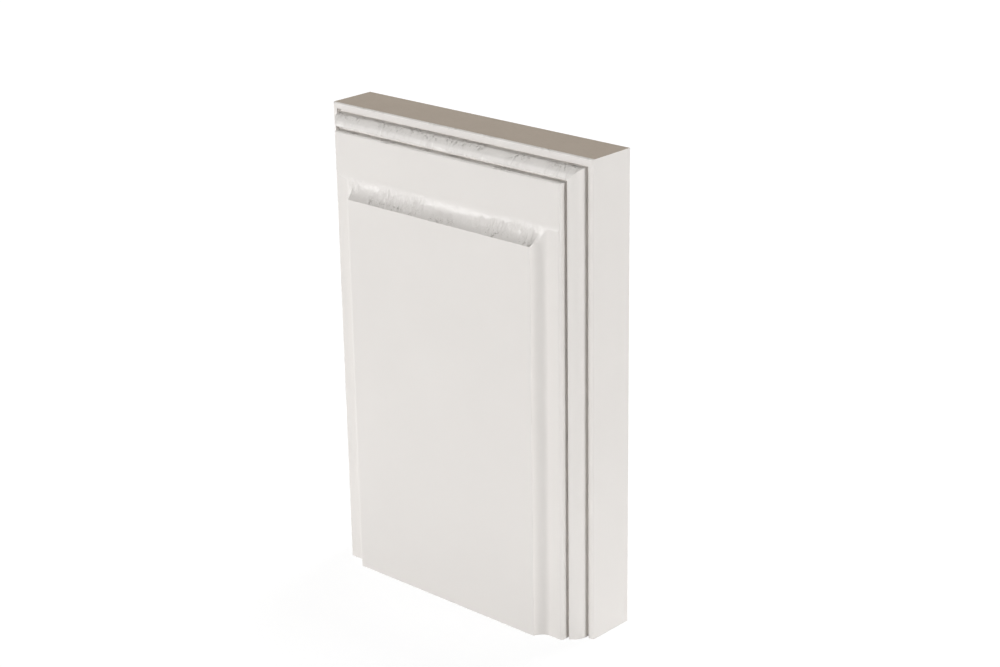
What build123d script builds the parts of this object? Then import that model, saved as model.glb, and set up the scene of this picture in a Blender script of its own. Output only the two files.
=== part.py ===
"""Plinth block for the foot of a door casing, machined from one piece of board.

The back is flat and stands on the wall, the bottom stands on the floor, the casing lands
on the top end and the skirting butts against both edges. The face carries a raised panel
that runs down to the floor and stops below a plain head band. A moulding of a rim, an
ovolo and two narrow grooves frames the face on three sides, with mitred top corners, and
runs out square at the bottom.

Millimetres, +Z up. The origin is the middle of the block's bottom. The face looks to -Y.
"""
from build123d import *

import os

# Board and overall size
block_width = 120.0
block_height = 172.0
board_thickness = 30.0  # back to the raised panel

# Raised panel and the two passes that leave it standing
strip_thickness = 26.2  # back to the strips beside the panel
strip_edge = 12.9  # edge of the block to the foot of the side cove
side_cove_radius = 4.7
head_sink = 0.3  # head band below the strips
head_drop = 21.6  # top of the block to the foot of the head cove
head_cove_radius = 11.0
panel_arris = 0.4

# Moulding on three sides, from the outer edge inwards
rim_thickness = 18.8  # back to the rim
rim_width = 2.1
rim_arris_width = 0.8  # leaves 18 mm of square edge for the skirting
rim_arris_radius = 1.0
outer_groove_width = 1.1
outer_groove_depth = 1.5  # below the rim
ovolo_foot = 0.4  # lower end of the ovolo above the rim
ovolo_width = 3.5
ovolo_rise = 4.7
ovolo_radius = 5.6
inner_groove_width = 1.1
inner_groove_depth = 1.8  # below the crest of the ovolo
plate_arris_width = 0.95
plate_arris_radius = 1.2

# Cutter travel past the board
run_out = 5.0

# Places worked out from the sizes above
half_width = block_width / 2
back_y = board_thickness / 2
head_thickness = strip_thickness - head_sink
ovolo_start = rim_width + outer_groove_width
ovolo_end = ovolo_start + ovolo_width
ovolo_foot_level = rim_thickness + ovolo_foot
ovolo_crest_level = ovolo_foot_level + ovolo_rise
plate_edge = ovolo_end + inner_groove_width

# Plane of the board's bottom end seen from below: x runs in from the left edge and
# y runs forward from the back
end_plane = Plane(origin=(-half_width, back_y, 0), x_dir=(1, 0, 0), z_dir=(0, 0, -1))

# Plane of the board's right edge seen from the left: x runs down from the top and y runs
# forward from the back
edge_plane = Plane(origin=(half_width, back_y, block_height), x_dir=(0, 0, -1), z_dir=(-1, 0, 0))


def cove_outline(foot, level, radius):
    """Outline of the waste that a cove cutter takes: a flat to the foot, then the cove."""
    clear = board_thickness + radius + run_out
    flat = Line((-run_out, level), (foot, level))
    cove = CenterArc((foot, level + radius), radius, -90, 90)
    Polyline(cove @ 1, (foot + radius, clear), (-run_out, clear), flat @ 0)


def moulding_outline():
    """Outline of the waste between the moulding and the outside of the board."""
    clear = board_thickness + run_out
    rim_corner = Line((-run_out, rim_thickness - rim_arris_width), (0, rim_thickness - rim_arris_width))
    rim_arris = RadiusArc(rim_corner @ 1, (rim_arris_width, rim_thickness), rim_arris_radius)
    outer_groove = Polyline(
        rim_arris @ 1,
        (rim_width, rim_thickness),
        (rim_width, rim_thickness - outer_groove_depth),
        (ovolo_start, rim_thickness - outer_groove_depth),
        (ovolo_start, ovolo_foot_level),
    )
    ovolo = RadiusArc(outer_groove @ 1, (ovolo_end, ovolo_crest_level), ovolo_radius)
    inner_groove = Polyline(
        ovolo @ 1,
        (ovolo_end, ovolo_crest_level - inner_groove_depth),
        (plate_edge, ovolo_crest_level - inner_groove_depth),
        (plate_edge, strip_thickness - plate_arris_width),
    )
    plate_arris = RadiusArc(
        inner_groove @ 1, (plate_edge + plate_arris_width, strip_thickness), plate_arris_radius
    )
    Polyline(
        plate_arris @ 1,
        (plate_edge + plate_arris_width, clear),
        (-run_out, clear),
        rim_corner @ 0,
    )


with BuildPart() as plinth_block:
    # Board, cut to length
    with BuildSketch(Plane.XY):
        Rectangle(block_width, board_thickness)
    extrude(amount=block_height)

    # Side passes: a strip and a cove on each side of the panel, from end to end
    with BuildSketch(end_plane):
        with BuildLine():
            cove_outline(strip_edge, strip_thickness, side_cove_radius)
        make_face()
        mirror(about=Plane.YZ.offset(half_width))
    extrude(amount=-block_height, mode=Mode.SUBTRACT)

    # Head pass: the head band and the cove down to the panel, from edge to edge
    with BuildSketch(edge_plane):
        with BuildLine():
            cove_outline(head_drop, head_thickness, head_cove_radius)
        make_face()
    extrude(amount=block_width, mode=Mode.SUBTRACT)

    # Moulding: up one side, across the top and down the other, mitred at the corners
    with BuildLine():
        Polyline(
            (-half_width, back_y, -run_out),
            (-half_width, back_y, block_height),
            (half_width, back_y, block_height),
            (half_width, back_y, -run_out),
        )
    with BuildSketch(end_plane.offset(run_out)):
        with BuildLine():
            moulding_outline()
        make_face()
    sweep(transition=Transition.RIGHT, mode=Mode.SUBTRACT)

    # Softened edges of the panel, all but its square bottom end
    panel_face = plinth_block.faces().sort_by(Axis.Y)[0]
    fillet(panel_face.edges().sort_by(Axis.Z)[1:], radius=panel_arris)

plinth_block.part.label = "plinth_block"

os.makedirs("parts", exist_ok=True)
export_step(plinth_block.part, "parts/plinth_block.step")
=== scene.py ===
"""Plinth block for the foot of a door casing, dressed in paint and bare board.

Metres, +Z up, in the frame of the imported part: the origin is the middle of the block's
bottom, the flat back is towards +Y and the moulded face looks to -Y.
"""
import logging
import math
from dataclasses import dataclass, field
from enum import Enum

import bmesh
import bpy
from mathutils import Matrix, Vector


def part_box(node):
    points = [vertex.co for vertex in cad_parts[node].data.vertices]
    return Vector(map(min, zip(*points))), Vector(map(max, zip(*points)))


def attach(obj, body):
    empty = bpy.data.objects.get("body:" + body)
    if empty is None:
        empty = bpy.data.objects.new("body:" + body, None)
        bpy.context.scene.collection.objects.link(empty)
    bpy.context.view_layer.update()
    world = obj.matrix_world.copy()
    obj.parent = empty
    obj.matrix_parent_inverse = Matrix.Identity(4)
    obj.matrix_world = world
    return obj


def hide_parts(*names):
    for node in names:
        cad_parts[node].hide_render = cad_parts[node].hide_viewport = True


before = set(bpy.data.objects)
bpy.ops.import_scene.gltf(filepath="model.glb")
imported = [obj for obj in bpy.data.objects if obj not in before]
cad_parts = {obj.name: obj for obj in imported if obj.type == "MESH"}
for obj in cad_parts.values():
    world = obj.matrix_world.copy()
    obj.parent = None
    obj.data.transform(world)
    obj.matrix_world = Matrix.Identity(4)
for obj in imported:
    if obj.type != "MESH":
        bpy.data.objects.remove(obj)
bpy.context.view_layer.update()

LOG = logging.getLogger("plinth_block")
MM = 0.001
HAIR = 1e-7  # metres; what lies closer than this is together
NODE = "plinth_block"
BODY = "root"

Colour = tuple[float, float, float]
Place = tuple[float, float, float]
Socket = bpy.types.NodeSocket
Wire = Socket | float | Colour

WHITE: Colour = (1.0, 1.0, 1.0)


class Coat(Enum):
    """What covers a face of the block: its index among the mesh's materials."""

    PAINT = 0
    BARE_BOARD = 1


@dataclass(frozen=True)
class Fade:
    """A smooth rise while a number goes from low to high.

    Attributes:
        low: the number at which the rise begins.
        high: the number at which it ends.
        share: how high it rises.
    """

    low: float
    high: float
    share: float = 1.0


@dataclass(frozen=True)
class Station:
    """One point of a moulding's section, in millimetres.

    Attributes:
        inset: how far in from the edge of the block.
        level: how far forward of the block's back.
    """

    inset: float
    level: float

    def lerp(self, other: "Station", share: float) -> "Station":
        """The point at that share of the way to the other one."""
        return Station(
            self.inset + (other.inset - self.inset) * share,
            self.level + (other.level - self.level) * share,
        )

    def gap(self, other: "Station") -> float:
        """The distance to the other point."""
        return math.hypot(other.inset - self.inset, other.level - self.level)


@dataclass
class SectionPen:
    """Draws a section as a row of stations, with corners that the paint has eased.

    Attributes:
        points: the stations drawn so far.
        eased: index of a point among them, and how far back its corner is eased.
    """

    points: list[Station] = field(default_factory=list)
    eased: dict[int, float] = field(default_factory=dict)

    def line(self, inset: float, level: float, ease: float = 0.0) -> "SectionPen":
        """Draws a straight run.

        Args:
            inset: where the run ends, from the edge of the block.
            level: where it ends, forward of the back.
            ease: how far each side of that corner the paint has rounded it.

        Returns:
            The pen itself.
        """
        self.points.append(Station(inset, level))
        if ease:
            self.eased[len(self.points) - 1] = ease
        return self

    def arc(
        self, inset: float, level: float, radius: float, steps: int, ease: float = 0.0
    ) -> "SectionPen":
        """Draws an arc that bulges away from the board, as an ovolo or a worn arris.

        Args:
            inset: where the arc ends, from the edge of the block.
            level: where it ends, forward of the back.
            radius: its radius.
            steps: how many chords it has.
            ease: how far each side of its end the paint has rounded the corner.

        Returns:
            The pen itself.
        """
        start = self.points[-1]
        across, rise = inset - start.inset, level - start.level
        chord = math.hypot(across, rise)
        sink = math.sqrt(radius**2 - (chord / 2) ** 2)
        middle = start.lerp(Station(inset, level), 0.5)
        centre = Station(middle.inset + rise / chord * sink, middle.level - across / chord * sink)
        first = math.atan2(start.level - centre.level, start.inset - centre.inset)
        last = math.atan2(level - centre.level, inset - centre.inset)
        for step in range(1, steps + 1):
            angle = first + (last - first) * step / steps
            self.line(
                centre.inset + radius * math.cos(angle),
                centre.level + radius * math.sin(angle),
            )
        if ease:
            self.eased[len(self.points) - 1] = ease
        return self

    def _walk(self, start: int, step: int, length: float) -> tuple[Station, int]:
        """Walks along the points from one of them.

        Args:
            start: the point that the walk starts from.
            step: 1 to walk on, or -1 to walk back.
            length: how far to walk.

        Returns:
            The place reached, and the next point beyond it.
        """
        at, left = start, length
        while 0 <= at + step < len(self.points):
            gap = self.points[at].gap(self.points[at + step])
            if gap >= left:
                return self.points[at].lerp(self.points[at + step], left / gap), at + step
            left -= gap
            at += step
        return self.points[at], at

    def stations(self, steps: int = 5) -> list[Station]:
        """The whole section, with its eased corners.

        Args:
            steps: how many chords an eased corner has.

        Returns:
            The stations, from the first that was drawn to the last.
        """
        made: list[Station] = []
        index = 0
        while index < len(self.points):
            after = next((k for k in sorted(self.eased) if k >= index), len(self.points))
            if after == len(self.points):
                made += self.points[index:]
                break
            ease = self.eased[after]
            begin, before = self._walk(after, -1, ease)
            end, beyond = self._walk(after, 1, ease)
            made += self.points[index : before + 1]
            corner = self.points[after]
            for step in range(steps + 1):
                share = step / steps
                made.append(begin.lerp(corner, share).lerp(corner.lerp(end, share), share))
            index = beyond
        return made


@dataclass
class Moulding:
    """The border on three sides: a rim, an ovolo, two narrow grooves and a plate edge.

    All sizes are millimetres. Levels are forward of the back.

    Attributes:
        rim_level: the level of the rim, which is the thickness of the block's edge.
        rim_width: the rim's width, with its arris.
        rim_arris_width: how far in the rim's outer arris reaches.
        rim_arris_radius: the radius of that arris.
        outer_groove_width: the width of the groove between the rim and the ovolo.
        outer_groove_depth: how deep that groove is below the rim.
        ovolo_foot: how high the ovolo's lower end stands above the rim.
        ovolo_width: the ovolo's width.
        ovolo_rise: from its lower end to its crest.
        ovolo_radius: the radius of its curve.
        inner_groove_width: the width of the groove between the ovolo and the plate.
        inner_groove_depth: how deep that groove is below the crest.
        plate_level: the level of the strips beside the panel.
        plate_arris_width: how far in the plate's rounded edge reaches.
        plate_arris_radius: the radius of that edge.
        cut_arris: how far each side of a cut edge the paint has rounded it.
        paint_ease: the same for the edges of the rim, the ovolo and the plate.
        groove_ease: the same for the corners at the bottom of the grooves.
        rim_steps: how many chords the rim's arris has.
        ovolo_steps: how many the ovolo has.
        plate_steps: how many the plate's rounded edge has.
    """

    rim_level: float = 18.8
    rim_width: float = 2.1
    rim_arris_width: float = 0.8
    rim_arris_radius: float = 1.0
    outer_groove_width: float = 1.1
    outer_groove_depth: float = 1.5
    ovolo_foot: float = 0.4
    ovolo_width: float = 3.5
    ovolo_rise: float = 4.7
    ovolo_radius: float = 5.6
    inner_groove_width: float = 1.1
    inner_groove_depth: float = 1.8
    plate_level: float = 26.2
    plate_arris_width: float = 0.95
    plate_arris_radius: float = 1.2
    cut_arris: float = 0.15
    paint_ease: float = 0.14
    groove_ease: float = 0.2
    rim_steps: int = 8
    ovolo_steps: int = 26
    plate_steps: int = 14

    def section(self) -> list[Station]:
        """The section from the block's back, round its edge and up to the plate.

        Returns:
            The stations, from the back's own edge inwards.
        """
        ovolo_start = self.rim_width + self.outer_groove_width
        ovolo_end = ovolo_start + self.ovolo_width
        plate_edge = ovolo_end + self.inner_groove_width
        outer_floor = self.rim_level - self.outer_groove_depth
        ovolo_low = self.rim_level + self.ovolo_foot
        crest = ovolo_low + self.ovolo_rise
        inner_floor = crest - self.inner_groove_depth
        pen = SectionPen()
        pen.line(2 * self.cut_arris, 0.0)
        pen.line(0.0, 0.0, self.cut_arris)
        pen.line(0.0, self.rim_level - self.rim_arris_width)
        pen.arc(self.rim_arris_width, self.rim_level, self.rim_arris_radius, self.rim_steps)
        pen.line(self.rim_width, self.rim_level, self.paint_ease)
        pen.line(self.rim_width, outer_floor, self.groove_ease)
        pen.line(ovolo_start, outer_floor, self.groove_ease)
        pen.line(ovolo_start, ovolo_low, self.paint_ease)
        pen.arc(ovolo_end, crest, self.ovolo_radius, self.ovolo_steps, self.paint_ease)
        pen.line(ovolo_end, inner_floor, self.groove_ease)
        pen.line(plate_edge, inner_floor, self.groove_ease)
        pen.line(plate_edge, self.plate_level - self.plate_arris_width, self.paint_ease)
        pen.arc(
            plate_edge + self.plate_arris_width,
            self.plate_level,
            self.plate_arris_radius,
            self.plate_steps,
        )
        return pen.stations()


@dataclass
class CovePass:
    """One pass of a cove cutter, which leaves the panel standing.

    Attributes:
        foot: how far in from the edge of the block the cove begins.
        level: the flat beside the cove, forward of the back.
        radius: the cutter's radius.
        top: the level of the panel.
        arris: the radius of the panel's softened edge.
        cove_steps: how many chords the cove has.
        arris_steps: how many the softened edge has.
    """

    foot: float
    level: float
    radius: float
    top: float
    arris: float
    cove_steps: int = 28
    arris_steps: int = 8

    def curve(self) -> list[Station]:
        """The cove and the panel's softened edge.

        Returns:
            The stations, from the foot to the panel's flat.
        """
        end = math.acos(1 - (self.top - self.level) / self.radius)
        pen = SectionPen()
        for step in range(self.cove_steps):
            angle = end * step / self.cove_steps
            pen.line(
                self.foot + self.radius * math.sin(angle),
                self.level + self.radius * (1 - math.cos(angle)),
            )
        reach = self.foot + self.radius * math.sin(end)
        pen.line(reach, self.top, self.arris * math.tan(end / 2))
        pen.line(reach + 2 * self.arris, self.top)
        return pen.stations(self.arris_steps)[:-1]

    def inset_at(self, level: float) -> float:
        """How far in from the edge the cove reaches a level.

        Args:
            level: the level, forward of the back.

        Returns:
            The inset in millimetres.
        """
        curve = self.curve()
        for low, high in zip(curve, curve[1:]):
            if low.level <= level <= high.level and high.level > low.level:
                share = (level - low.level) / (high.level - low.level)
                return low.lerp(high, share).inset
        return curve[0].inset if level < curve[0].level else curve[-1].inset


@dataclass(frozen=True)
class SatinPaint:
    """Warm white satin paint over routed board.

    The paint is smooth on the face and on what is routed along the board. Where the
    cutter went across it, in the head cove and the top run of the moulding, the paint
    follows lifted fibres, in streaks down the slope with small dark pits. Painted shade
    darkens the steepest part of both, and painted light lightens the crest of the moulding
    and the paint near the foot.

    A slope is told by its tilt: 0 is upright and 1 faces straight up.

    Attributes:
        name: the material's name.
        colour: the paint on the face.
        thin_paint_and_shade_colour: the paint where the board shows through it, in streaks and
            pits, and the painted shade on steep slopes.
        painted_light_colour: the lighter paint of the painted light near the foot and of the
            painted highlight on the moulding's crest.
        roughness: of the smooth paint.
        streak_pitch: from one streak to the next.
        streak_length: of a streak, down the slope.
        streak_height: of the lifted fibres.
        pit_pitch: from one pit to the next.
        pit_length: of a pit, down the slope.
        pit_sink: how far a pit goes down, as a share of the fibres' height.
        patch_size: of the patches that have fibres and pits.
        calm: how much relief there is between those patches.
        grain_pitch: from one bead of the paint's fine grain to the next.
        grain_height: of that grain.
        cloud_size: of the faint clouds on the face.
        cloud_shade: how dark a cloud is.
        crest_height: above the floor, from here up the slopes are the moulding's.
        routed: tilt from which the fibres are lifted.
        ovolo_steep: tilt from which the moulding counts as steep, with painted shade and pits.
        cove_steep: tilt from which the head cove counts as steep, with painted shade and pits.
        crest_highlight_rise: tilt at which the painted highlight on the moulding's crest begins.
        crest_highlight_fall: tilt at which it ends.
        patches: where a patch begins, in its noise.
        pits: where a pit begins, in its noise.
        streaks: where the paint in a streak thins, in its noise.
        painted_steep_shade: how much painted shade darkens a steep slope.
        clouds: where a cloud begins, in its noise.
        grain_shine: how much rougher the grain makes the paint.
        painted_foot_light: from this height above the floor down, the paint is lightened, as
            painted light thrown up by the floor.
    """

    name: str = "warm_white_satin_paint"
    colour: Colour = (0.79, 0.76, 0.73)
    thin_paint_and_shade_colour: Colour = (0.56, 0.53, 0.49)
    painted_light_colour: Colour = (0.91, 0.88, 0.85)
    roughness: float = 0.28
    streak_pitch: float = 1.3 * MM
    streak_length: float = 5.0 * MM
    streak_height: float = 0.45 * MM
    pit_pitch: float = 0.9 * MM
    pit_length: float = 1.5 * MM
    pit_sink: float = 0.6
    patch_size: float = 11.0 * MM
    calm: float = 0.45
    grain_pitch: float = 0.9 * MM
    grain_height: float = 0.006 * MM
    cloud_size: float = 30.0 * MM
    cloud_shade: float = 0.985
    crest_height: float = 158.0 * MM
    routed: Fade = Fade(0.08, 0.3)
    ovolo_steep: Fade = Fade(0.66, 0.92)
    cove_steep: Fade = Fade(0.5, 0.8)
    crest_highlight_rise: Fade = Fade(0.38, 0.5)
    crest_highlight_fall: Fade = Fade(0.6, 0.74)
    patches: Fade = Fade(0.42, 0.62)
    pits: Fade = Fade(0.56, 0.66)
    streaks: Fade = Fade(0.45, 0.75, 0.25)
    painted_steep_shade: float = 0.25
    clouds: Fade = Fade(0.3, 0.7)
    grain_shine: Fade = Fade(0.3, 0.7, 0.06)
    painted_foot_light: Fade = Fade(130.0 * MM, 0.0, 0.35)

    def build(self) -> bpy.types.Material:
        """Makes the material.

        Returns:
            The new material.
        """
        material = bpy.data.materials.new(self.name)
        bench = NodeBench(material)
        place = bench.node("ShaderNodeTexCoord").outputs["Object"]
        height = bench.node("ShaderNodeSeparateXYZ", Vector=place).outputs["Z"]
        routed, steep, crest = self._slopes(bench, height)
        streak = bench.noise(
            place, (self.streak_pitch, self.streak_length, self.streak_length), 3.0, 0.6
        )
        patch = bench.fade(bench.noise(place, self.patch_size, 2.0), self.patches)
        pits = bench.noise(place, (self.pit_pitch, self.pit_length, self.pit_length), 2.0, 0.7)
        pitted = bench.times(bench.fade(pits, self.pits), bench.times(patch, steep))
        streaked = bench.times(bench.fade(streak, self.streaks), bench.times(patch, routed))
        # Painted shade: steep, upward-facing slopes are darkened toward the thin paint's colour,
        # on top of the streaks.
        thin_and_shaded = bench.plus(streaked, bench.times(steep, self.painted_steep_shade))
        thin_and_shaded = bench.maths("MAXIMUM", thin_and_shaded, pitted)
        body = bench.mix(
            bench.fade(bench.noise(place, self.cloud_size, 2.0), self.clouds),
            self.colour,
            scaled(self.colour, self.cloud_shade),
        )
        # Painted light: the paint is lightened towards the foot, as by light thrown up from the
        # floor.
        body = bench.mix(bench.fade(height, self.painted_foot_light), body, self.painted_light_colour)
        # Painted highlight: the paint is lightened on the moulding's crest.
        body = bench.mix(crest, body, self.painted_light_colour)
        colour = bench.mix(thin_and_shaded, body, self.thin_paint_and_shade_colour)
        grain = bench.noise(place, self.grain_pitch, 2.0)
        shine = bench.plus(self.roughness, bench.fade(grain, self.grain_shine))
        ridges = bench.times(
            bench.maths("SUBTRACT", streak, bench.times(pitted, self.pit_sink)),
            bench.times(routed, bench.plus(patch, self.calm)),
        )
        fine = bench.bump(grain, self.grain_height)
        rough = bench.bump(ridges, self.streak_height, fine)
        bench.principled(colour, shine, rough)
        return material

    def _slopes(self, bench: "NodeBench", height: Socket) -> tuple[Socket, Socket, Socket]:
        """Tells the slopes of the head cove and of the moulding's top run apart.

        Args:
            bench: the material's node tree.
            height: the height above the floor.

        Returns:
            How much a place is routed across the board, how steep it is, for the painted shade and
            the pits, and how much it is on the crest, for the painted highlight.
        """
        normal = bench.node("ShaderNodeNewGeometry").outputs["Normal"]
        tilt = bench.node("ShaderNodeSeparateXYZ", Vector=normal).outputs["Z"]
        moulded = bench.maths("GREATER_THAN", height, self.crest_height)
        coved = bench.maths("SUBTRACT", 1.0, moulded)
        steep = bench.plus(
            bench.times(bench.fade(tilt, self.ovolo_steep), moulded),
            bench.times(bench.fade(tilt, self.cove_steep), coved),
        )
        # This crest mask marks where the painted highlight goes.
        crest = bench.maths(
            "SUBTRACT", bench.fade(tilt, self.crest_highlight_rise), bench.fade(tilt, self.crest_highlight_fall)
        )
        return bench.fade(tilt, self.routed), steep, bench.times(crest, moulded)


@dataclass(frozen=True)
class BareBoard:
    """Fine fibreboard, sawn and left bare: even, pale brown, with short fibres.

    The outer layers of the board are pressed harder and read a little darker, and the
    saw leaves fine lines along its cut.

    Attributes:
        name: the material's name.
        colour: the board.
        dark_colour: its darkest parts.
        roughness: of the bare fibres.
        gloss: the strength of their gloss.
        fibre_pitch: from one fibre to the next.
        fibre_length: of a fibre.
        speck_size: of the specks between the fibres.
        cloud_size: of the paler and darker clouds.
        saw_pitch: from one line of the saw to the next.
        saw_length: of such a line.
        saw_share: how deep the lines are beside the fibres' relief.
        relief: the height of the fibres.
        board_thickness: from the back to the front of the board.
        fibre_tone: how the fibres darken the board.
        speck_tone: how the specks darken it.
        cloud_tone: how the clouds darken it.
        skin_tone: how its outer layers darken it, 0 in the middle and 1 at the skin.
    """

    name: str = "bare_fibreboard"
    colour: Colour = (0.475, 0.405, 0.335)
    dark_colour: Colour = (0.375, 0.315, 0.25)
    roughness: float = 0.85
    gloss: float = 0.3
    fibre_pitch: float = 0.35 * MM
    fibre_length: float = 1.6 * MM
    speck_size: float = 0.5 * MM
    cloud_size: float = 9.0 * MM
    saw_pitch: float = 0.5 * MM
    saw_length: float = 40.0 * MM
    saw_share: float = 0.6
    relief: float = 0.03 * MM
    board_thickness: float = 30.0 * MM
    fibre_tone: Fade = Fade(0.45, 0.75, 0.35)
    speck_tone: Fade = Fade(0.55, 0.75, 0.35)
    cloud_tone: Fade = Fade(0.3, 0.7, 0.12)
    skin_tone: Fade = Fade(0.8, 1.0, 0.2)

    def build(self) -> bpy.types.Material:
        """Makes the material.

        Returns:
            The new material.
        """
        material = bpy.data.materials.new(self.name)
        bench = NodeBench(material)
        place = bench.node("ShaderNodeTexCoord").outputs["Object"]
        fibre = bench.noise(
            place, (self.fibre_length, self.fibre_pitch, self.fibre_length), 4.0, 0.65
        )
        speck = bench.noise(place, self.speck_size, 3.0, 0.7)
        cloud = bench.noise(place, self.cloud_size, 3.0)
        depth = bench.node("ShaderNodeSeparateXYZ", Vector=place).outputs["Y"]
        from_middle = bench.maths(
            "DIVIDE", bench.maths("ABSOLUTE", depth), self.board_thickness / 2
        )
        dark = bench.plus(bench.fade(fibre, self.fibre_tone), bench.fade(speck, self.speck_tone))
        dark = bench.plus(dark, bench.fade(cloud, self.cloud_tone))
        dark = bench.plus(dark, bench.fade(from_middle, self.skin_tone))
        colour = bench.mix(dark, self.colour, self.dark_colour)
        saw = bench.noise(place, (self.saw_length, self.saw_pitch, self.saw_length), 2.0)
        height = bench.plus(fibre, bench.times(saw, self.saw_share))
        bench.principled(colour, self.roughness, bench.bump(height, self.relief), self.gloss)
        return material


def scaled(colour: Colour, share: float) -> Colour:
    """The colour with each channel at that share."""
    return (colour[0] * share, colour[1] * share, colour[2] * share)


class NodeBench:
    """A node tree in the making, with one method for each kind of node that it needs.

    Attributes:
        MIX_INPUTS: the places of a colour mix's share and its two colours.
        MIX_OUTPUT: the place of the mixed colour.
    """

    MIX_INPUTS = (0, 6, 7)
    MIX_OUTPUT = 2

    def __init__(self, owner: bpy.types.Material | bpy.types.World) -> None:
        """Empties the tree of a material or a world.

        Args:
            owner: the material or the world.
        """
        owner.use_nodes = True
        self.tree = owner.node_tree
        self.tree.nodes.clear()

    def feed(self, socket: Socket, value: Wire) -> None:
        """Links a socket to another, or sets its value.

        Args:
            socket: the input.
            value: an output to link it to, a number or a colour.
        """
        if isinstance(value, bpy.types.NodeSocket):
            self.tree.links.new(value, socket)
        elif isinstance(value, tuple) and socket.type == "RGBA":
            socket.default_value = (*value, 1.0)
        else:
            socket.default_value = value

    def node(self, kind: str, **inputs: Wire) -> bpy.types.Node:
        """Adds a node.

        Args:
            kind: its type.
            **inputs: a value or a link for each input, by the input's name.

        Returns:
            The new node.
        """
        made = self.tree.nodes.new(kind)
        for name, value in inputs.items():
            self.feed(made.inputs[name], value)
        return made

    def maths(self, operation: str, first: Wire, second: Wire = 0.0) -> Socket:
        """Adds a sum.

        Args:
            operation: what it does, such as MULTIPLY.
            first: the first number.
            second: the second number.

        Returns:
            The result's socket.
        """
        made = self.node("ShaderNodeMath")
        made.operation = operation
        self.feed(made.inputs[0], first)
        self.feed(made.inputs[1], second)
        return made.outputs["Value"]

    def times(self, first: Wire, second: Wire) -> Socket:
        """The product of two numbers."""
        return self.maths("MULTIPLY", first, second)

    def plus(self, first: Wire, second: Wire) -> Socket:
        """The two numbers added up."""
        return self.maths("ADD", first, second)

    def fade(self, value: Wire, fade: Fade) -> Socket:
        """Adds a smooth rise.

        Args:
            value: the number that it follows.
            fade: where it begins and ends, and how high it rises.

        Returns:
            The result's socket.
        """
        made = self.node("ShaderNodeMapRange", Value=value)
        made.interpolation_type = "SMOOTHSTEP"
        self.feed(made.inputs["From Min"], fade.low)
        self.feed(made.inputs["From Max"], fade.high)
        rise = made.outputs["Result"]
        return rise if fade.share == 1.0 else self.times(rise, fade.share)

    def noise(
        self, place: Socket, size: float | Place, detail: float, roughness: float = 0.5
    ) -> Socket:
        """Adds a noise, stretched along the axes where it is given three sizes.

        Args:
            place: the coordinates.
            size: of one patch of it, in metres, or its sizes along the three axes.
            detail: how many finer layers it has.
            roughness: how strong the finer layers are.

        Returns:
            The noise's socket.
        """
        sizes = size if isinstance(size, tuple) else (size,) * 3
        spread = self.node("ShaderNodeMapping", Vector=place)
        spread.inputs["Scale"].default_value = [1 / each for each in sizes]
        made = self.node(
            "ShaderNodeTexNoise",
            Vector=spread.outputs["Vector"],
            Scale=1.0,
            Detail=detail,
            Roughness=roughness,
        )
        return made.outputs["Fac"]

    def mix(self, share: Wire, first: Wire, second: Wire) -> Socket:
        """Mixes two colours.

        Args:
            share: how much there is of the second.
            first: the first colour.
            second: the second colour.

        Returns:
            The mixed colour's socket.
        """
        made = self.node("ShaderNodeMix")
        made.data_type = "RGBA"
        for index, value in zip(self.MIX_INPUTS, (share, first, second)):
            self.feed(made.inputs[index], value)
        return made.outputs[self.MIX_OUTPUT]

    def bump(self, height: Socket, depth: float, under: Socket | None = None) -> Socket:
        """Adds a relief.

        Args:
            height: the relief, from 0 to 1.
            depth: what 1 is, in metres.
            under: a coarser or finer relief that this one lies on.

        Returns:
            The normal's socket.
        """
        made = self.node("ShaderNodeBump", Height=height, Distance=depth)
        if under is not None:
            self.feed(made.inputs["Normal"], under)
        return made.outputs["Normal"]

    def principled(
        self, colour: Wire, roughness: Wire, normal: Socket, specular: float = 0.5
    ) -> None:
        """Ends the tree in one shader.

        Args:
            colour: the base colour.
            roughness: the roughness.
            normal: the relief's normal.
            specular: the strength of its gloss, the same all over.
        """
        shader = self.node("ShaderNodeBsdfPrincipled", Roughness=roughness, Normal=normal)
        self.feed(shader.inputs["Base Color"], colour)
        shader.inputs["Specular IOR Level"].default_value = specular
        self.node("ShaderNodeOutputMaterial", Surface=shader.outputs["BSDF"])

    def seen(self) -> Socket:
        """Tells what is looked at from what gives light.

        Returns:
            1 on rays from the camera, straight, mirrored or through glass, and else 0.
        """
        path = self.node("ShaderNodeLightPath")
        first = self.maths("MAXIMUM", path.outputs["Is Camera Ray"], path.outputs["Is Glossy Ray"])
        return self.maths("MAXIMUM", first, path.outputs["Is Transmission Ray"])


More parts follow.
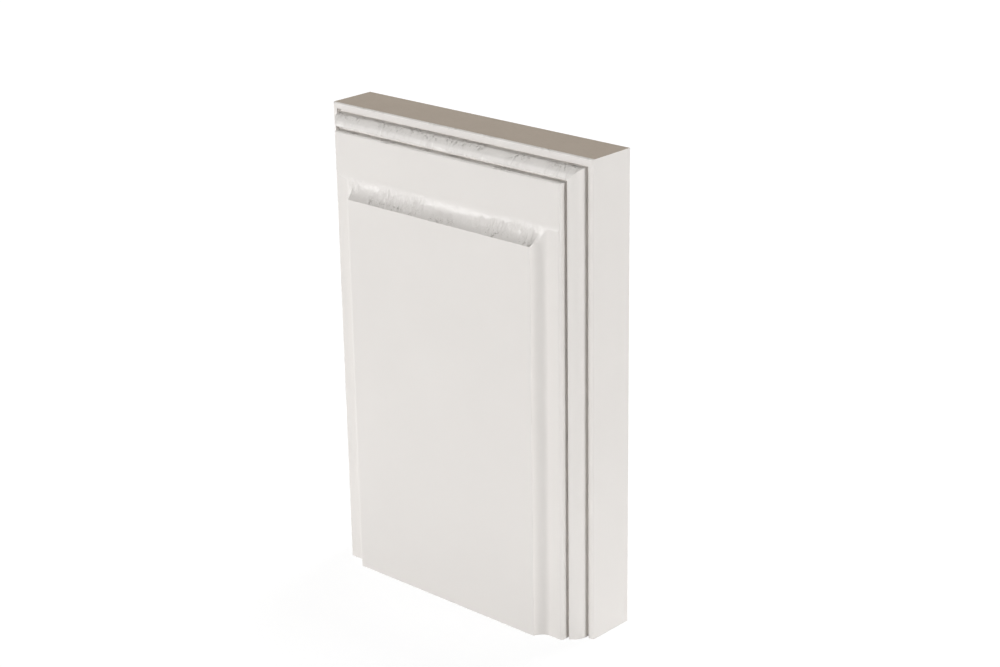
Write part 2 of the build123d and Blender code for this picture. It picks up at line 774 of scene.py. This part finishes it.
class Skin:
    """A mesh in the making, whose faces share their vertices where they meet.

    Attributes:
        PER_METRE: how many steps of a metre places are told apart by.
        FLATNESS: the volume in cubic millimetres under which a cell counts as flat.
    """

    PER_METRE = 1e7
    FLATNESS = 1e-6

    def __init__(self) -> None:
        """Starts an empty mesh."""
        self.made = bmesh.new()
        self.known: dict[tuple[int, ...], bmesh.types.BMVert] = {}

    def vertex(self, place: Place) -> bmesh.types.BMVert:
        """Finds the vertex at a place, or makes it.

        Args:
            place: in metres.

        Returns:
            The vertex.
        """
        key = tuple(round(value * self.PER_METRE) for value in place)
        if key not in self.known:
            self.known[key] = self.made.verts.new(place)
        return self.known[key]

    def face(self, places: list[Place]) -> None:
        """Adds a face, unless its corners fall together.

        Args:
            places: its corners, in order.
        """
        corners: list[bmesh.types.BMVert] = []
        for corner in (self.vertex(place) for place in places):
            if corner not in corners:
                corners.append(corner)
        if len(corners) > 2 and self.made.faces.get(corners) is None:
            self.made.faces.new(corners)

    def cell(self, quad: list[Place], mirrored: bool) -> None:
        """Adds a cell of the grid, as one face if it is flat and else as two.

        The cut between the two runs the other way on the mirrored half, so that both
        mitres fold alike.

        Args:
            quad: its four corners, in order.
            mirrored: whether it lies on the mirrored half.
        """
        a, b, c, d = quad
        if self.flat(quad):
            self.face(quad)
        elif mirrored:
            self.face([a, b, d])
            self.face([b, c, d])
        else:
            self.face([a, b, c])
            self.face([a, c, d])

    def flat(self, quad: list[Place]) -> bool:
        """Whether the four corners lie in one plane."""
        a, b, c, d = (Vector(place) / MM for place in quad)
        return abs((b - a).cross(c - a).dot(d - a)) < self.FLATNESS


@dataclass
class PlinthBlock:
    """The block: a moulded border, a head band, and a panel between its coves.

    The mesh is a grid. Its columns stand on the stations of the side, mirrored to the
    right, and its rows on the stations of the top, with one more at the foot. Where two
    cuts meet, the lower surface stays, as on the real block.

    Attributes:
        width: overall width in millimetres.
        height: overall height in millimetres.
        thickness: from the back to the panel, in millimetres.
        border: the moulded border.
        side_foot: from the edge of the block to the foot of the cove beside the panel.
        side_radius: of that cove.
        head_sink: how far the head band lies below the strips.
        head_foot: from the top of the block to the foot of the cove above the panel.
        head_radius: of that cove.
        panel_arris: the radius of the panel's softened edges.
        corner_rub: how wide sanding has rounded the ridges at the panel's top corners.
        paint: what the face and the edges have.
        bare: what the ends and the back have.
        sharp_angle: an edge that turns by more degrees than this is shaded sharp.
        flat_weight: how much the large faces hold the shading of the small ones.
    """

    width: float
    height: float
    thickness: float
    border: Moulding = field(default_factory=Moulding)
    side_foot: float = 12.9
    side_radius: float = 4.7
    head_sink: float = 0.3
    head_foot: float = 21.6
    head_radius: float = 11.0
    panel_arris: float = 0.4
    corner_rub: float = 1.6
    paint: SatinPaint = field(default_factory=SatinPaint)
    bare: BareBoard = field(default_factory=BareBoard)
    sharp_angle: float = 38.0
    flat_weight: int = 80

    def __post_init__(self) -> None:
        """Works out the two passes and the rows and columns of the grid."""
        plate = self.border.plate_level
        self.side = CovePass(
            self.side_foot, plate, self.side_radius, self.thickness, self.panel_arris
        )
        self.head = CovePass(
            self.head_foot,
            plate - self.head_sink,
            self.head_radius,
            self.thickness,
            self.panel_arris,
        )
        side_levels = {s.level for s in self.side.curve() if s.level > plate}
        head_levels = {s.level for s in self.head.curve() if s.level > self.head.level}
        shared = sorted(side_levels | {v for v in head_levels if v > plate})
        low = sorted({v for v in head_levels if v < plate})
        self.edge = self._with_levels(self.border.section(), [self.head.level, *low])
        self.columns = [
            *self.edge,
            Station(self.side.foot, plate),
            *(Station(self.side.inset_at(v), v) for v in shared),
        ]
        self.rows = [
            *self.edge,
            Station(self.head.foot, self.head.level),
            *(Station(self.head.inset_at(v), v) for v in [*low, plate, *shared]),
        ]

    @staticmethod
    def _with_levels(section: list[Station], levels: list[float]) -> list[Station]:
        """Adds a station to the plate's edge at each level, where another cut meets it.

        Args:
            section: the border's section.
            levels: the levels, all on its last curve.

        Returns:
            The section with the further stations.
        """
        made = [section[0]]
        for low, high in zip(section, section[1:]):
            for level in sorted(levels):
                if low.level < level < high.level:
                    made.append(low.lerp(high, (level - low.level) / (high.level - low.level)))
            made.append(high)
        return made

    def level_at(self, column: int, row: int) -> float:
        """The level of the block's surface at a crossing of the grid.

        Args:
            column: the station from the nearer side.
            row: the station from the top.

        Returns:
            The level in millimetres, forward of the back.
        """
        last = len(self.edge) - 1
        cut = self.edge[min(column, row, last)].level
        if min(column, row) > last:
            cut = self.thickness
        side = self.columns[column].level if column > last else self.side.level
        head = self.rows[row].level if row > last else self.head.level
        return min(cut, side, head) - self._rubbed(side, head)

    def _rubbed(self, side: float, head: float) -> float:
        """How much sanding took off the ridge where the two coves meet.

        Args:
            side: the level of the cove beside the panel there.
            head: the level of the cove above the panel there.

        Returns:
            The depth in millimetres, nothing away from the ridge.
        """
        reach = min(
            self.corner_rub,
            self.thickness - max(side, head),
            side - self.side.level,
            head - self.head.level,
        )
        if reach <= 0:
            return 0.0
        near = max(0.0, reach - abs(side - head)) / reach
        return near * near * reach / 4

    def point(self, across: float, level: float, down: float) -> Place:
        """A place on the block.

        Args:
            across: from the left edge, in millimetres.
            level: forward of the back, in millimetres.
            down: from the top, in millimetres.

        Returns:
            The place in the row frame, in metres.
        """
        return (
            (across - self.width / 2) * MM,
            (self.thickness / 2 - level) * MM,
            (self.height - down) * MM,
        )

    def outline(self, row: int) -> list[tuple[float, float]]:
        """The section at a row, from the left edge of the back to the right one.

        Args:
            row: the row of the grid.

        Returns:
            Pairs of across and level, in millimetres.
        """
        left = [
            (station.inset, self.level_at(column, row))
            for column, station in enumerate(self.columns)
        ]
        return left + [(self.width - inset, level) for inset, level in reversed(left)]

    def rings(self) -> list[list[Place]]:
        """All sections, from the top down to the foot.

        Returns:
            One list of points in the row frame for each row, and one for the foot.
        """
        downs = [station.inset for station in self.rows] + [self.height]
        last = len(self.rows) - 1
        return [
            [self.point(x, y, down) for x, y in self.outline(min(row, last))]
            for row, down in enumerate(downs)
        ]

    def mesh(self) -> bpy.types.Mesh:
        """Builds the closed mesh.

        Returns:
            The mesh, with a coat on each face.
        """
        rings = self.rings()
        half = len(self.columns)
        skin = Skin()
        for upper, lower in zip(rings, rings[1:]):
            for left in range(2 * half - 1):
                right = left + 1
                quad = [upper[left], lower[left], lower[right], upper[right]]
                skin.cell(quad, mirrored=left >= half)
        down_left = [ring[0] for ring in rings[1:]]
        down_right = [ring[-1] for ring in rings[1:]]
        skin.face(rings[0] + down_right + down_left[::-1])
        skin.face(rings[-1][::-1])
        bmesh.ops.recalc_face_normals(skin.made, faces=skin.made.faces)
        self._coat(skin.made)
        mesh = bpy.data.meshes.new(NODE + "_dressed")
        skin.made.to_mesh(mesh)
        skin.made.free()
        return mesh

    def _coat(self, made: bmesh.types.BMesh) -> None:
        """Gives each face its coat: the ends and the back are bare, the rest is painted.

        Args:
            made: the mesh in the making.
        """
        ends = (0.0, self.height * MM)
        for face in made.faces:
            face.smooth = True
            at_end = any(all(abs(v.co.z - end) < HAIR for v in face.verts) for end in ends)
            bare = at_end or face.normal.y > 0.5
            face.material_index = (Coat.BARE_BOARD if bare else Coat.PAINT).value

    def build(self) -> bpy.types.Object:
        """Builds and dresses the block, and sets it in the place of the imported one.

        Returns:
            The new piece.
        """
        piece = bpy.data.objects.new(NODE + "_dressed", self.mesh())
        bpy.context.scene.collection.objects.link(piece)
        finishes = {Coat.PAINT: self.paint, Coat.BARE_BOARD: self.bare}
        for coat in Coat:
            piece.data.materials.append(finishes[coat].build())
        piece.data.set_sharp_from_angle(angle=math.radians(self.sharp_angle))
        even = piece.modifiers.new("even_shading", "WEIGHTED_NORMAL")
        even.keep_sharp = True
        even.weight = self.flat_weight
        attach(piece, BODY)
        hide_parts(NODE)
        return piece


@dataclass(frozen=True)
class Softbox:
    """A lamp behind a sheet of diffuser, aimed at the block.

    Attributes:
        name: what it is.
        azimuth: where it stands, in degrees: 0 is in front of the face, 90 to its right.
        elevation: how far above the block it stands, in degrees.
        distance: how far from the block's middle, in metres.
        width: of the diffuser, in metres.
        height: of the diffuser, in metres.
        power: in watts.
    """

    name: str
    azimuth: float
    elevation: float
    distance: float
    width: float
    height: float
    power: float

    def build(self, target: Vector) -> bpy.types.Object:
        """Sets the lamp up.

        Args:
            target: what it is aimed at.

        Returns:
            The new lamp.
        """
        data = bpy.data.lights.new(self.name, "AREA")
        data.shape = "RECTANGLE"
        data.size = self.width
        data.size_y = self.height
        data.energy = self.power
        lamp = bpy.data.objects.new(self.name, data)
        back = bearing(self.azimuth, self.elevation)
        lamp.location = target + back * self.distance
        lamp.rotation_mode = "QUATERNION"
        lamp.rotation_quaternion = (-back).to_track_quat("-Z", "Y")
        bpy.context.scene.collection.objects.link(lamp)
        return lamp


def bearing(azimuth: float, elevation: float) -> Vector:
    """The direction from the block towards a place round it.

    Args:
        azimuth: in degrees, 0 in front of the face and 90 to its right.
        elevation: in degrees above the horizon.

    Returns:
        The direction, one long.
    """
    turn, lift = math.radians(azimuth), math.radians(elevation)
    return Vector(
        (math.sin(turn) * math.cos(lift), -math.cos(turn) * math.cos(lift), math.sin(lift))
    )


@dataclass
class Camera:
    """The camera, at the photograph's angle.

    Attributes:
        azimuth: in degrees round the block.
        elevation: in degrees above the horizon.
        roll: how far it leans, in degrees.
        lens: its focal length in millimetres.
        film: the width of its frame in millimetres.
        right: how far right of the lens's axis the middle of the block's back lies.
        down: how far under that axis it lies.
        ahead: how far ahead of the camera it lies.
    """

    azimuth: float = 42.463
    elevation: float = 20.190
    roll: float = 0.891
    lens: float = 79.205
    film: float = 36.0
    right: float = -0.000901
    down: float = 0.007033
    ahead: float = 0.782686

    def build(self, anchor: Vector) -> bpy.types.Object:
        """Sets the camera up.

        Args:
            anchor: the middle of the block's back.

        Returns:
            The new camera.
        """
        ahead = -bearing(self.azimuth, self.elevation)
        level = ahead.cross(Vector((0, 0, 1))).normalized()
        under = ahead.cross(level)
        lean = math.radians(self.roll)
        right = level * math.cos(lean) + under * math.sin(lean)
        down = under * math.cos(lean) - level * math.sin(lean)
        data = bpy.data.cameras.new("camera")
        data.lens = self.lens
        data.sensor_width = self.film
        data.clip_start, data.clip_end = 0.01, 20.0
        made = bpy.data.objects.new("camera", data)
        place = anchor - right * self.right - down * self.down - ahead * self.ahead
        turn = Matrix((right, -down, -ahead)).transposed()
        made.matrix_world = Matrix.Translation(place) @ turn.to_4x4()
        bpy.context.scene.collection.objects.link(made)
        bpy.context.scene.camera = made
        return made


@dataclass
class Studio:
    """A pale floor in white surroundings, softboxes and the camera.

    Attributes:
        target: the middle of the block.
        anchor: the middle of its back.
        ambient: the light that the surroundings give.
        floor_size: the side of the floor, in metres.
        floor_colour: the floor where light falls on it.
        floor_white: how white the floor looks by itself.
        floor_shade: how much of the light and shade on it shows.
        softboxes: the lamps, all round the block.
        camera: the camera.
    """

    target: Vector
    anchor: Vector
    ambient: float = 0.056
    floor_size: float = 8.0
    floor_colour: Colour = (0.85, 0.85, 0.85)
    floor_white: float = 0.9
    floor_shade: float = 0.21
    softboxes: tuple[Softbox, ...] = (
        Softbox("key_softbox", -41.0, 13.0, 2.2, 0.4, 0.4, 11.8),
        Softbox("front_softbox", -10.0, 5.0, 2.2, 1.6, 0.3, 23.2),
        Softbox("right_softbox", 97.0, 5.0, 2.2, 1.0, 0.3, 26.0),
        Softbox("back_softbox", 180.0, 5.0, 2.2, 1.2, 0.3, 15.0),
        Softbox("left_softbox", -98.0, 5.0, 2.2, 1.0, 0.3, 16.0),
        Softbox("top_softbox", 180.0, 65.0, 2.2, 0.9, 0.9, 26.5),
    )
    camera: Camera = field(default_factory=Camera)

    def floor(self) -> bpy.types.Object:
        """Lays the floor: matt white, with a soft shadow on it.

        Returns:
            The floor.
        """
        half = self.floor_size / 2
        data = bpy.data.meshes.new("floor")
        data.from_pydata(
            [(-half, -half, 0), (half, -half, 0), (half, half, 0), (-half, half, 0)],
            [],
            [(0, 1, 2, 3)],
        )
        made = bpy.data.objects.new("floor", data)
        bpy.context.scene.collection.objects.link(made)
        material = bpy.data.materials.new("floor_white")
        bench = NodeBench(material)
        seen = bench.seen()
        colour = bench.mix(seen, self.floor_colour, scaled(self.floor_colour, self.floor_shade))
        matt = bench.node("ShaderNodeBsdfDiffuse", Color=colour)
        glow = bench.times(seen, self.floor_white)
        white = bench.node("ShaderNodeEmission", Color=WHITE, Strength=glow)
        both = bench.node("ShaderNodeAddShader")
        bench.feed(both.inputs[0], matt.outputs["BSDF"])
        bench.feed(both.inputs[1], white.outputs["Emission"])
        bench.node("ShaderNodeOutputMaterial", Surface=both.outputs["Shader"])
        data.materials.append(material)
        return made

    def surroundings(self) -> None:
        """Makes the world: white to look at, and a plain soft light."""
        world = bpy.data.worlds.new("white_surroundings")
        bench = NodeBench(world)
        strength = bench.node("ShaderNodeMapRange", Value=bench.seen())
        bench.feed(strength.inputs["To Min"], self.ambient)
        bench.feed(strength.inputs["To Max"], 1.0)
        sky = bench.node("ShaderNodeBackground", Color=WHITE, Strength=strength.outputs["Result"])
        bench.node("ShaderNodeOutputWorld", Surface=sky.outputs["Background"])
        bpy.context.scene.world = world

    def build(self) -> None:
        """Sets up the floor, the surroundings, the lamps and the camera."""
        self.floor()
        self.surroundings()
        for softbox in self.softboxes:
            softbox.build(self.target)
        self.camera.build(self.anchor)
        bpy.context.scene.view_settings.view_transform = "Standard"


def main() -> None:
    """Builds the block and its studio, and reports each piece."""
    logging.basicConfig(level=logging.INFO, format="%(name)s: %(message)s")
    low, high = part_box(NODE)
    span = (high - low) / MM
    block = PlinthBlock(round(span.x, 3), round(span.z, 3), round(span.y, 3)).build()
    LOG.info("%s: %d faces", block.name, len(block.data.polygons))
    middle = (low + high) / 2
    studio = Studio(target=middle, anchor=Vector((middle.x, high.y, middle.z)))
    studio.build()
    LOG.info("studio: %d softboxes", len(studio.softboxes))


if __name__ == "__main__":
    main()
